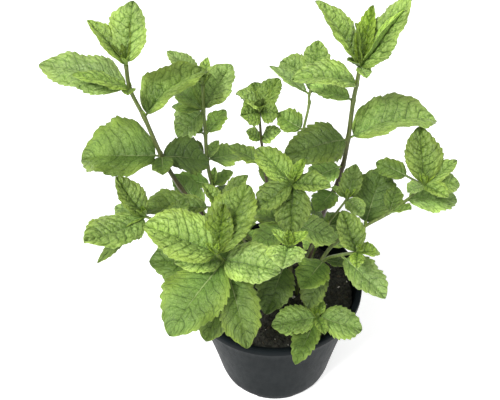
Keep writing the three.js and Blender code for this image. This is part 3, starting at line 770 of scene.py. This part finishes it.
def outline(share, blunt):
    """Half width along the blade, 1 at its widest; blunt rounds off the tip."""
    power = TIP_POWER - blunt
    widest = BASE_POWER / (BASE_POWER + power)
    peak = widest**BASE_POWER * (1 - widest) ** power
    return share**BASE_POWER * (1 - share) ** power / peak


def leaf_axes(heading, lift, roll):
    heading, lift, roll = (math.radians(v) for v in (heading, lift, roll))
    along = np.array(
        [math.cos(heading) * math.cos(lift), math.sin(heading) * math.cos(lift), math.sin(lift)]
    )
    level = np.array([-math.sin(heading), math.cos(heading), 0])
    side = level * math.cos(roll) + np.cross(along, level) * math.sin(roll)
    return along, side, np.cross(along, side)


def add_leaf(heap, root, heading, lift, length, width, roll, bend, fold, petiole, age, tone_with_painted_light):
    """A thin closed blade on its petiole: toothed, folded, bent down, quilted between its veins."""
    along, side, up = leaf_axes(heading, lift, roll)
    draw = rng.random(8)
    seed = int(draw[0] * TABLE_SIDE)
    youth = 1 - age
    step = YOUNG_STEP + (OLD_STEP - YOUNG_STEP) * age
    teeth = int(np.clip(round(length / (TOOTH_PITCH + age)) + 1, *TOOTH_COUNT))
    per_tooth = int(np.clip(round(length / teeth / step), *STEPS_PER_TOOTH))
    rows = teeth * per_tooth
    half_columns = int(np.clip(round(0.5 * width / step), *COLUMN_COUNT))
    tails = max(2, round(petiole / PETIOLE_STEP) + 1)

    run = np.concatenate([np.linspace(-1, 0, tails + 1)[:-1], np.linspace(0, 1, rows + 1)])
    blade = np.maximum(run, 0)
    share = blade**SHARE_EASE
    reach = share[:, None]
    s = np.linspace(-1, 1, 2 * half_columns + 1)[None, :]
    size, hand = np.abs(s), np.sign(s)
    ends = smooth(0.02, 0.12, blade)[:, None]

    # The outline: uneven along each edge, with teeth that lean towards the tip.
    spread = outline(share, TIP_BLUNT[0] + TIP_BLUNT[1] * youth)
    half = np.hypot(0.5 * width * spread, PETIOLE_HALF_WIDTH * (1 - blade) + 0.12)[:, None]
    uneven = value_noise(reach * 4 + seed, 3 * hand + seed) - 0.5
    half = half * (1 + EDGE_UNEVEN * uneven * ends)
    half = half * (1 - TIP_SLIM * smooth(TIP_SLIM_START, 1, reach))
    count = blade * teeth
    stage = (count % 1)[:, None]
    tooth = np.where(stage < TOOTH_PEAK, stage / TOOTH_PEAK, (1 - stage) / (1 - TOOTH_PEAK))
    tooth = tooth * (run > 0)[:, None]
    tooth_row = (np.floor(count).astype(int) + seed)[:, None] % TABLE_SIDE
    strength = 0.55 + 0.9 * LUMPS[tooth_row, 5 + hand.astype(int)]
    cut = np.minimum(TOOTH_CUT[0] * youth + TOOTH_CUT[1] * age, 0.13 * half) * strength
    margin = size**7 * ends
    aside = s * half - hand * cut * (TOOTH_OUT - tooth) * margin
    forward = 0.3 * (length / teeth) * tooth * strength * margin * (1 - reach)

    # The relief: pillows between the side veins, a net of small cells, and a sunk midrib.
    veins = FEWEST_VEINS + sum(length > limit for limit in VEIN_LENGTHS)
    sweep = VEIN_SWEEP * size**1.4 * (1 - 0.5 * reach)
    stray = 0.16 * (value_noise(reach * 6 + 2 * seed, size * 3 + 7 * hand + seed) - 0.5)
    phase = veins * (reach - sweep + stray * size) + 0.35 + 0.35 * (hand > 0)
    pitch = length / veins
    pillow = np.abs(np.sin(math.pi * phase)) ** 0.6
    cell = CELL_SIZE + CELL_GROWTH * length
    net, lump = cells((reach - sweep) * length / cell, aside / cell, seed, 0.24 + 0.06 * youth)
    inner = (1 - size**5) * ends
    scale = min(1.0, width / FULL_RELIEF_WIDTH)
    quilt = scale * (YOUNG_QUILT * youth + OLD_QUILT * age)
    height = half * (0.04 + 0.1 * youth) * np.sin(math.pi * size) * ends
    height = height + quilt * (pillow - 0.6) * inner
    height = height + quilt * (0.5 + 0.5 * age) * (net * (0.7 + 0.7 * lump) - 0.7) * inner
    height = height - scale * (0.22 + 0.4 * youth) * np.exp(-((aside / RIB_WIDTH) ** 2)) * ends
    ripple = np.sin(2 * math.pi * (reach * (1.2 + 0.9 * draw[1]) + draw[2] + (0.2 + 0.3 * draw[4]) * hand))
    height = height + (0.06 + 0.07 * age) * half * size**2.2 * ripple * ends
    frill = np.sin(2 * math.pi * (reach * (3.4 + 1.5 * draw[5]) + draw[6] * hand))
    height = height + (0.03 + 0.02 * age) * half * size**4 * frill * ends
    sag = (value_noise(reach * 2.2 + seed, s * 1.3 + 2 * seed) - 0.5) * 0.16 * half * age * ends
    height = height + sag
    rise = math.radians(fold)
    height = height + np.abs(aside) * math.sin(rise)

    arc = math.radians(bend)
    if abs(arc) < 1e-6:
        travel, drop = length * share, 0 * share
    else:
        travel = length / arc * np.sin(arc * share)
        drop = length / arc * (1 - np.cos(arc * share))
    drop = drop + 0.012 * length * np.sin(2 * math.pi * (share * 1.2 + draw[7])) * share * (1 - share) * 4
    travel = travel + petiole + np.minimum(run, 0) * (petiole + ROOT_BACK)
    tilt = (arc * share)[:, None, None]
    normal = up * np.cos(tilt) + along * np.sin(tilt)
    ahead = along * np.cos(tilt) - up * np.sin(tilt)
    middle = root + along * travel[:, None] - up * drop[:, None]
    middle = middle + side * (0.06 * (draw[3] - 0.5) * length * share * (1.6 * share - 0.6))[:, None]
    top = middle[:, None] + side * (aside * math.cos(rise))[..., None]
    top = top + normal * height[..., None] + ahead * forward[..., None]
    round_off = np.sqrt(np.clip(1 - size**2, 0, 1))
    stalk = PETIOLE_THICKNESS * (0.25 + 0.75 * round_off)
    sheet = BLADE * (1 - 0.55 * size**6)
    swell = smooth(0.0, 0.18, blade)[:, None]
    thick = stalk * (1 - swell) + (sheet + 0.35 * np.exp(-((aside / 0.7) ** 2)) * (1 - reach)) * swell
    top = top + normal * (0.3 * thick)[..., None]
    bottom = top - normal * thick[..., None]

    stations, columns = top.shape[:2]
    # Around each station: the upper side from left to right, then the lower side back.
    around = 2 * columns
    points = np.concatenate([top, bottom[:, ::-1]], axis=1).reshape(-1, 3)

    def both(upper, lower=None):
        upper = np.broadcast_to(upper, (stations, columns))
        lower = upper if lower is None else np.broadcast_to(lower, (stations, columns))
        return np.concatenate([upper, lower[:, ::-1]], axis=1).ravel()

    leaf_a = np.stack([both(phase), both(aside), both(reach)], -1)
    leaf_b = np.stack([both(age), both(tone_with_painted_light), both(net * (0.5 + 0.5 * lump) * ends)], -1)
    leaf_c = np.stack([both(0.0, 1.0), both(s), both(pitch)], -1)
    faces = tube_faces(stations, around)[:, ::-1]
    heap.add(points, faces, leaf_a=leaf_a, leaf_b=leaf_b, leaf_c=leaf_c)


# Stems


def stem_curve(points):
    """The smooth curve of the solid model's stem: its points, and their place in the list."""
    p = np.array(points, float)
    p = np.vstack([2 * p[0] - p[1], p, 2 * p[-1] - p[-2]])
    made, places = [], []
    for i in range(1, len(p) - 2):
        knots = [np.linalg.norm(p[i + k] - p[i + k - 1]) ** 0.5 for k in (0, 1, 2)]
        slope_a = (p[i] - p[i - 1]) / knots[0] - (p[i + 1] - p[i - 1]) / (knots[0] + knots[1])
        slope_a = (slope_a + (p[i + 1] - p[i]) / knots[1]) * knots[1]
        slope_b = (p[i + 1] - p[i]) / knots[1] - (p[i + 2] - p[i]) / (knots[1] + knots[2])
        slope_b = (slope_b + (p[i + 2] - p[i + 1]) / knots[2]) * knots[1]
        for k in range(STEM_STEPS):
            t = k / STEM_STEPS
            cubic = 2 * p[i] - 2 * p[i + 1] + slope_a + slope_b
            square = -3 * p[i] + 3 * p[i + 1] - 2 * slope_a - slope_b
            made.append(p[i] + slope_a * t + square * t * t + cubic * t**3)
            places.append(i - 1 + t)
    made.append(p[-2])
    places.append(len(points) - 1)
    return np.array(made), np.array(places)


def add_stem(heap, points, radii, purple):
    curve, places = stem_curve(points)
    length = np.concatenate([[0], np.cumsum(np.linalg.norm(np.diff(curve, axis=0), axis=1))])
    share = length / length[-1]
    radius = radii[0] + (radii[1] - radii[0]) * share
    near = np.abs(places - np.round(places)) * SWELL_SHARPNESS
    grown = (places > 0.5) & (places < len(points) - 0.4)
    radius = radius * (1 + STEM_SWELL * np.exp(-(near**2)) * grown)
    ahead = np.gradient(curve, axis=0)
    ahead /= np.linalg.norm(ahead, axis=1, keepdims=True)
    root = np.array([[curve[0][0], curve[0][1], SOIL_LEVEL - ROOT_DEPTH + 1.0]])
    curve = np.vstack([root, curve])
    ahead = np.vstack([[0, 0, 1], ahead])
    radius = np.concatenate([[radius[0]], radius])
    share = np.concatenate([[0], share])
    side = np.array([1.0, 0, 0])
    turn = np.linspace(0, 2 * math.pi, STEM_AROUND, endpoint=False)
    # A square with rounded corners and slightly hollow sides.
    square = np.abs(np.cos(turn)) ** STEM_SQUARE + np.abs(np.sin(turn)) ** STEM_SQUARE
    square = 1 / square ** (1 / STEM_SQUARE)
    rings = []
    for centre, way, size in zip(curve, ahead, radius):
        side = side - way * side.dot(way)
        side /= np.linalg.norm(side)
        other = np.cross(way, side)
        ring = np.cos(turn)[:, None] * side + np.sin(turn)[:, None] * other
        rings.append(centre + ring * (square * size)[:, None])
    count = len(curve)
    stem_a = np.stack(
        [np.repeat(share, STEM_AROUND), np.full(count * STEM_AROUND, purple), np.tile(turn, count)], -1
    )
    heap.add(np.concatenate(rings), tube_faces(count, STEM_AROUND)[:, ::-1], stem_a=stem_a)


def add_tuft(heap, root, ahead, sizes, spread):
    """Crossed pairs of the smallest leaves round a growing tip, the youngest upright in the middle."""
    heading = math.degrees(math.atan2(ahead[1], ahead[0]))
    turn = 360 * rng.random()
    for k, length in enumerate(sizes):
        lean = 86 - spread * (k // 2) - 8 * rng.random()
        angle = turn + 90 * (k // 2) + 180 * (k % 2) + 24 * (rng.random() - 0.5)
        form = (angle, lean, length, 0.55 * length, 0, -15, 30, 0.4)
        foot = root + np.array([math.cos(math.radians(heading)), math.sin(math.radians(heading)), 0]) * 0.2
        add_leaf(heap, foot, *form, 0.0, TUFT_TONE)


def add_shoot(name, radii, points, leaves):
    purple, ages, leaf_tones_and_painted_light = LOOKS[name]
    leaf_heap, stem_heap = Heap(), Heap()
    add_stem(stem_heap, points, radii, purple)
    top = len(points) - 1
    for (point, *form), age, tone_and_painted_light in zip(leaves, ages, leaf_tones_and_painted_light, strict=True):
        # The leaf's tone digit: its own green with painted light and shade.
        shade = TONE_STEP ** (int(tone_and_painted_light, 16) - MIDDLE_TONE) * (0.96 + 0.08 * rng.random())
        add_leaf(leaf_heap, np.array(points[point], float), *form, int(age) / 9, float(shade))
    tip = np.array(points[-1], float)
    add_tuft(leaf_heap, tip, tip - points[-2], TIP_TUFT, TIP_TUFT_SPREAD)
    for point in range(2, top):
        if rng.random() < POINT_TUFT_CHANCE:
            node = np.array(points[point], float)
            add_tuft(leaf_heap, node, tip - node, POINT_TUFT, POINT_TUFT_SPREAD)
    leaves_piece = leaf_heap.piece(f"{name}_leaves", LEAF, "leaf")
    stem_piece = stem_heap.piece(f"{name}_stem", STEM, "stem")
    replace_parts(leaves_piece, name)
    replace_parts(stem_piece, name)


for shoot_name, (shoot_radii, shoot_points, shoot_leaves) in SHOOTS.items():
    add_shoot(shoot_name, shoot_radii, shoot_points, shoot_leaves)

# Pot


def wall_radius(height):
    rise = height / (POT_HEIGHT - LIP_HEIGHT)
    straight = FOOT_RADIUS + FOOT_FLARE + (RIM_RADIUS - LIP_PROUD - FOOT_RADIUS - FOOT_FLARE) * rise
    return straight + WALL_BULGE * math.sin(math.pi * rise)


def rounded(profile):
    """Softens each corner of a closed profile with a small curve."""
    p = np.array(profile, float)
    made = []
    for before, here, after in zip(np.roll(p, 1, 0), p, np.roll(p, -1, 0)):
        into, out = before - here, after - here
        a = here + into / np.linalg.norm(into) * min(CORNER_REACH, np.linalg.norm(into) * 0.3)
        b = here + out / np.linalg.norm(out) * min(CORNER_REACH, np.linalg.norm(out) * 0.3)
        made += [a, 0.25 * a + 0.5 * here + 0.25 * b, b]
    return np.array(made)


def lathe(profile, turns):
    """A closed profile, [radius, height], turned round Z, as points and faces."""
    angle = np.linspace(0, 2 * math.pi, turns, endpoint=False)
    radius, height = profile[:, 0], profile[:, 1]
    points = np.stack(
        [
            np.outer(np.cos(angle), radius),
            np.outer(np.sin(angle), radius),
            np.outer(np.ones(turns), height),
        ],
        -1,
    ).reshape(-1, 3)
    steps = len(profile)
    turn, step = np.meshgrid(np.arange(turns), np.arange(steps), indexing="ij")
    a = turn * steps + step
    b = turn * steps + (step + 1) % steps
    c = (turn + 1) % turns * steps + (step + 1) % steps
    d = (turn + 1) % turns * steps + step
    return points, np.stack([a, d, c, b], -1).reshape(-1, 4)


def cutter(name, size, place, turn):
    corners = np.array([[x, y, z] for x in (-1, 1) for y in (-1, 1) for z in (-1, 1)], float)
    corners = corners * np.array(size) / 2 + place
    spin = np.array([[math.cos(turn), -math.sin(turn), 0], [math.sin(turn), math.cos(turn), 0], [0, 0, 1]])
    faces = [(0, 1, 3, 2), (4, 6, 7, 5), (0, 4, 5, 1), (2, 3, 7, 6), (0, 2, 6, 4), (1, 5, 7, 3)]
    mesh = bpy.data.meshes.new(name)
    mesh.from_pydata((corners @ spin.T * MM).tolist(), [], faces)
    made = bpy.data.objects.new(name, mesh)
    bpy.context.scene.collection.objects.link(made)
    return made


def make_pot():
    under_lip = POT_HEIGHT - LIP_HEIGHT
    raised = FLOOR_RISE + FLOOR_THICKNESS
    # The middle of the base is a plain disc, closed with a hub too small to see.
    profile = [
        [HUB_RADIUS, 0],
        [CENTRE_PAD_RADIUS, 0],
        [CENTRE_PAD_RADIUS + DRAFT, FLOOR_RISE],
        [FOOT_RADIUS - FOOT_WIDTH - DRAFT, FLOOR_RISE],
        [FOOT_RADIUS - FOOT_WIDTH, 0],
        [FOOT_RADIUS, 0],
        [FOOT_RADIUS + 2 * EDGE_ROUND, 3 * EDGE_ROUND],
        *[[wall_radius(h), h] for h in WALL_HEIGHTS],
        [RIM_RADIUS - LIP_PROUD, under_lip],
        [RIM_RADIUS, under_lip + DRAFT],
        [RIM_RADIUS, POT_HEIGHT - EDGE_ROUND],
        [RIM_RADIUS - EDGE_ROUND, POT_HEIGHT],
        [RIM_RADIUS - EDGE_ROUND - LIP_FLAT, POT_HEIGHT],
        [RIM_RADIUS - LIP_PROUD - WALL, POT_HEIGHT - LIP_FLAT],
        [RIM_RADIUS - LIP_PROUD - WALL, under_lip],
        *[[wall_radius(h) - WALL, h] for h in reversed(WALL_HEIGHTS)],
        [FOOT_RADIUS - FLOOR_CORNER, raised],
        [CENTRE_PAD_RADIUS + DRAFT - WALL, raised],
        [CENTRE_PAD_RADIUS - WALL, FLOOR_THICKNESS],
        [HUB_RADIUS, FLOOR_THICKNESS],
    ]
    points, faces = lathe(rounded(profile), POT_TURNS)
    pot = new_piece("pot_shell", points * MM, faces, POT)
    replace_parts(pot, "pot")
    cutters = []
    for i in range(DRAIN_COUNT):
        turn = i * 2 * math.pi / DRAIN_COUNT
        slot = (DRAIN_LENGTH, DRAIN_WIDTH, CUT_REACH)
        notch = (CUT_REACH, NOTCH_WIDTH, 2 * NOTCH_HEIGHT)
        cutters.append(cutter(f"cut_slot_{i}", slot, (DRAIN_RADIUS, 0, raised), turn))
        cutters.append(cutter(f"cut_notch_{i}", notch, (FOOT_RADIUS, 0, 0), turn))
    for tool in cutters:
        cut = pot.modifiers.new("cut", "BOOLEAN")
        cut.operation = "DIFFERENCE"
        cut.object = tool
        cut.solver = "EXACT"
    shape = bpy.data.meshes.new_from_object(
        pot.evaluated_get(bpy.context.evaluated_depsgraph_get())
    )
    pot.modifiers.clear()
    pot.data = shape
    for tool in cutters:
        bpy.data.objects.remove(tool)
    shape.set_sharp_from_angle(angle=math.radians(SHARP_ANGLE))


make_pot()

# Soil


def soil_relief(x, y):
    coarse = np.sin(x * 0.21 + 1.3) * np.cos(y * 0.24 - 0.6)
    fine = np.sin(x * 0.55 - y * 0.35) * np.cos(y * 0.61 + x * 0.2)
    return SOIL_RELIEF * (0.6 * coarse + 0.6 * fine)


def soil_height(x, y):
    clods = value_noise(x / CLOD_SIZE + 9, y / CLOD_SIZE + 4) - 0.5
    crumbs = value_noise(x / CRUMB_SIZE + 31, y / CRUMB_SIZE + 17) - 0.5
    return SOIL_LEVEL + soil_relief(x, y) + CLOD_HEIGHT * clods + CRUMB_HEIGHT * crumbs


def make_soil():
    shoulder = wall_radius(SOIL_LEVEL) - WALL - SOIL_GAP
    bed = FLOOR_RISE + FLOOR_THICKNESS + SOIL_FLOOR_GAP
    surface = [[shoulder * share, SOIL_LEVEL] for share in np.linspace(0.99, 0.003, SOIL_RINGS)]
    profile = np.array(
        [
            [SOIL_HUB_RADIUS, FLOOR_THICKNESS + SOIL_FLOOR_GAP],
            [CENTRE_PAD_RADIUS - WALL - 0.6, FLOOR_THICKNESS + SOIL_FLOOR_GAP],
            [CENTRE_PAD_RADIUS + DRAFT - WALL - 0.3, bed],
            [FOOT_RADIUS - FLOOR_CORNER - 0.3, bed],
            *[[wall_radius(h) - WALL - SOIL_GAP, h] for h in SOIL_HEIGHTS],
            [shoulder, SOIL_LEVEL - SOIL_SHOULDER],
            *surface,
        ]
    )
    points, faces = lathe(profile, SOIL_TURNS)
    on_top = points[:, 2] > SOIL_LEVEL - 0.1
    edge = np.hypot(points[:, 0], points[:, 1]) / shoulder
    lift = soil_height(points[:, 0], points[:, 1]) - SOIL_LEVEL
    points[:, 2] += np.where(on_top, lift - SOIL_EDGE_DROP * smooth(0.95, 1, edge), 0)
    heap = Heap()
    heap.add(points, faces, soil_a=np.zeros((len(points), 3)))
    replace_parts(heap.piece("soil_bed", SOIL, "soil"), "soil")
    return shoulder


def ball():
    """A closed ball of four-cornered faces, as points and faces."""
    rings, around = 5, 8
    height = np.cos(np.linspace(0.3, math.pi - 0.3, rings))
    turn = np.linspace(0, 2 * math.pi, around, endpoint=False)
    wide = np.sqrt(1 - height**2)
    points = np.stack(
        [np.outer(wide, np.cos(turn)), np.outer(wide, np.sin(turn)), np.outer(height, np.ones(around))], -1
    )
    return points.reshape(-1, 3), tube_faces(rings, around)[:, ::-1]


def scatter(name, material, count, sizes, flat, lump, tints, shoulder, sink):
    """Small uneven lumps on the soil, clear of the stems."""
    points, faces = ball()
    stems = np.array([spans[1][0][:2] for spans in SHOOTS.values()], float)
    heap = Heap()
    placed = 0
    while placed < count:
        spin, out, size, warp, tint = rng.random(5)
        radius = sizes[0] + (sizes[1] - sizes[0]) * size**3
        distance = (shoulder - radius - 1.0) * math.sqrt(out)
        x, y = distance * math.cos(spin * 2 * math.pi), distance * math.sin(spin * 2 * math.pi)
        if np.min(np.hypot(stems[:, 0] - x, stems[:, 1] - y)) < radius + STEM_CLEARANCE:
            continue
        bend = rng.random((3, 3)) - 0.5
        wavy = 1 + lump * np.sin(points @ (bend * 7) + warp * 9).sum(1, keepdims=True)
        turn = np.linalg.qr(rng.random((3, 3)) - 0.5)[0]
        form = (points * wavy * np.array([1, 1 - flat * 0.5, 1 - flat])) @ turn.T * radius
        top = float(soil_height(np.array([x]), np.array([y]))[0])
        shade = np.full((len(points), 3), tints[0] + tints[1] * tint)
        heap.add(form + [x, y, top + radius * sink], faces, soil_a=shade)
        placed += 1
    heap.piece(name, material, "soil")


soil_shoulder = make_soil()
scatter("soil_crumbs", SOIL, 1500, (0.45, 2.1), 0.3, 0.12, (0.0, 0.3), soil_shoulder, 0.1)
scatter("soil_bark", SOIL, 130, (0.9, 2.6), 0.72, 0.1, (0.35, 0.65), soil_shoulder, 0.3)
scatter("soil_perlite", PERLITE, 80, (0.4, 1.3), 0.2, 0.1, (0.0, 0.0), soil_shoulder, 0.35)

# Floor, light and camera


def make_stage():
    far = FLOOR_HALF_SIDE
    mesh = bpy.data.meshes.new("floor")
    corners = [(-far, -far, 0), (far, -far, 0), (far, far, 0), (-far, far, 0)]
    mesh.from_pydata(corners, [], [(0, 1, 2, 3)])
    mesh.materials.append(floor_material())
    floor = bpy.data.objects.new("floor", mesh)
    bpy.context.scene.collection.objects.link(floor)


def sun(name, turn, height, angle, strength):
    """A broad soft light from a direction, in degrees round the plant and above the floor."""
    lamp = bpy.data.lights.new(name, "SUN")
    lamp.angle = math.radians(angle)
    lamp.energy = strength
    made = bpy.data.objects.new(name, lamp)
    made.rotation_euler = (math.radians(90 - height), 0, math.radians(turn + 90))
    bpy.context.scene.collection.objects.link(made)


def make_light():
    world = bpy.data.worlds.new("studio")
    world.use_nodes = True
    world.node_tree.nodes["Background"].inputs["Color"].default_value = (1, 1, 1, 1)
    world.node_tree.nodes["Background"].inputs["Strength"].default_value = WORLD_STRENGTH
    bpy.context.scene.world = world
    sun("key", *KEY_LIGHT)
    sun("fill", *FILL_LIGHT)
    bpy.context.scene.view_settings.view_transform = "Standard"


def make_camera():
    data = bpy.data.cameras.new("camera")
    data.sensor_fit = "HORIZONTAL"
    data.sensor_width = SENSOR_WIDTH
    data.lens = CAMERA_LENS
    data.shift_x = CAMERA_SHIFT
    camera = bpy.data.objects.new("camera", data)
    camera.location = CAMERA_PLACE
    camera.rotation_euler = (math.radians(CAMERA_TILT), 0, 0)
    bpy.context.scene.collection.objects.link(camera)
    bpy.context.scene.camera = camera


make_stage()
make_light()
make_camera()
